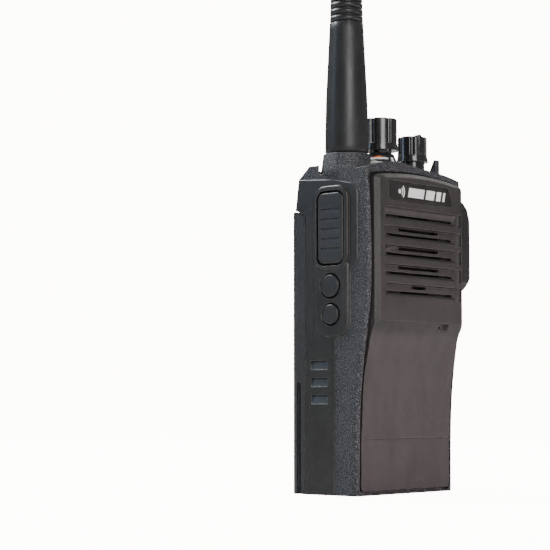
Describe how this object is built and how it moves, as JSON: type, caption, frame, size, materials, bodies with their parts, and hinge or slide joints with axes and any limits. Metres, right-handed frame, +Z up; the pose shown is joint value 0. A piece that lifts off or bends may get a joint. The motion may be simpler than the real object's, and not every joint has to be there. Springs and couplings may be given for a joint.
{
  "type": "portable radio",
  "caption": "Hand-held two-way radio with a helical antenna, volume and channel knobs, a push-to-talk key, a slide-off battery and a belt clip.",
  "frame": {"origin": "on the resting face of the casing, straight below the volume control's shaft", "axes": "+X to the right as seen from the speaker side, the speaker side faces -Y, +Z up along the antenna"},
  "size_m": [0.0668, 0.0463, 0.272],
  "materials": {
    "housing_textured": "fine spark-eroded texture",
    "panel_plastic": "satin",
    "frame_plastic": "semi-gloss",
    "badge_gloss": "gloss",
    "key_rubber": "satin",
    "knob_plastic": "gloss",
    "scale_print": "printed",
    "antenna_rubber": "satin",
    "antenna_coil_steel": "bare",
    "brass": "satin",
    "felt": "matt",
    "steel": "bare",
    "dark_steel": "black oxide",
    "paper_cone": "matt",
    "magnet": "plated",
    "silicone": "matt",
    "board": "solder mask",
    "shield": "tinned",
    "lens": "frosted",
    "lamp": "clear",
    "cast": "as cast, blackened",
    "battery_plastic": "fine texture",
    "inner_plastic": "matt",
    "cells": "sleeved",
    "contact": "gold plated",
    "label_foil": "printed foil, blank",
    "clip_plastic": "satin"
  },
  "bodies": {
    "radio": {"front_housing": "housing_textured", "speaker_panel": "panel_plastic", "badge_plate": "badge_gloss", "left_side_frame": "frame_plastic", "right_side_frame": "frame_plastic", "speaker_felt": "felt", "speaker_frame": "steel", "speaker_magnet": "magnet", "speaker_cone": "paper_cone", "microphone": "steel", "microphone_boot": "silicone", "ptt_seal": "silicone", "side_key_board": "board", "side_switches": "steel", "earphone_jack": "inner_plastic", "microphone_jack": "inner_plastic", "accessory_hinge_pin": "steel", "volume_control": "steel", "channel_selector": "steel", "control_nuts": "steel", "scale_ring": "scale_print", "status_lens": "lens", "status_lamp": "lamp", "antenna_socket": "brass", "main_board": "board", "rf_shield": "shield", "rear_chassis": "cast", "chassis_seal": "silicone", "chassis_screws": "dark_steel", "radio_contacts": "contact", "clip_bracket": "dark_steel", "clip_pin": "steel", "clip_screws": "dark_steel", "clip_spring": "steel"},
    "ptt": {"ptt_key": "key_rubber"},
    "upper_button": {"upper_side_button": "key_rubber"},
    "lower_button": {"lower_side_button": "key_rubber"},
    "cover": {"accessory_cover": "key_rubber"},
    "volume": {"volume_knob": "knob_plastic", "volume_shaft": "steel"},
    "channel": {"channel_knob": "knob_plastic", "channel_shaft": "steel"},
    "antenna_lift": {"antenna_plug": "brass"},
    "antenna": {"antenna_sheath": "antenna_rubber", "antenna_coil": "antenna_coil_steel"},
    "clip": {"belt_clip": "clip_plastic"},
    "battery": {"battery_case": "battery_plastic", "battery_inner_cover": "inner_plastic", "battery_cells": "cells", "battery_board": "board", "battery_contacts": "contact", "charging_contacts": "contact", "latch_spring": "steel", "battery_label": "label_foil"},
    "latch": {"battery_latch": "clip_plastic"}
  },
  "joints": [
    {"name": "ptt_press", "type": "slide", "parent": "radio", "child": "ptt", "axis": [1, 0, 0], "range_m": [0, 0.001], "stiffness_N_per_m": 2500, "springref_m": -0.0004},
    {"name": "upper_button_press", "type": "slide", "parent": "radio", "child": "upper_button", "axis": [1, 0, 0], "range_m": [0, 0.0006], "stiffness_N_per_m": 3000, "springref_m": -0.0003},
    {"name": "lower_button_press", "type": "slide", "parent": "radio", "child": "lower_button", "axis": [1, 0, 0], "range_m": [0, 0.0006], "stiffness_N_per_m": 3000, "springref_m": -0.0003},
    {"name": "volume_turn", "type": "hinge", "parent": "radio", "child": "volume", "pos_m": [0, 0, 0.13], "axis": [0, 0, -1], "range_deg": [0, 280]},
    {"name": "channel_turn", "type": "hinge", "parent": "radio", "child": "channel", "pos_m": [0.02, 0, 0.13], "axis": [0, 0, -1], "range_deg": [0, 337.5]},
    {"name": "antenna_rise", "type": "slide", "parent": "radio", "child": "antenna_lift", "axis": [0, 0, 1], "range_m": [0, 0.0045]},
    {"name": "antenna_unscrew", "type": "hinge", "parent": "antenna_lift", "child": "antenna", "pos_m": [-0.02, 0, 0.13], "axis": [0, 0, 1], "range_deg": [0, 2160]},
    {"name": "cover_open", "type": "hinge", "parent": "radio", "child": "cover", "pos_m": [0.03095, 0.003, 0.093], "axis": [0, 0, 1], "range_deg": [0, 110]},
    {"name": "clip_pivot", "type": "hinge", "parent": "radio", "child": "clip", "pos_m": [0, 0.0224, 0.1086], "axis": [1, 0, 0], "range_deg": [0, 16], "stiffness_Nm_per_rad": 1.2, "springref_deg": -6.88},
    {"name": "battery_slide", "type": "slide", "parent": "radio", "child": "battery", "axis": [0, 0, -1], "range_m": [0, 0.105]},
    {"name": "latch_pull", "type": "slide", "parent": "battery", "child": "latch", "axis": [0, 1, 0], "range_m": [0, 0.0015], "stiffness_N_per_m": 900, "springref_m": -0.0008, "deforming": ["latch_spring"]}
  ],
  "couplings": [
    {"joint": "antenna_unscrew", "follows": "antenna_rise", "rad_per_m": 8377.6}
  ]
}
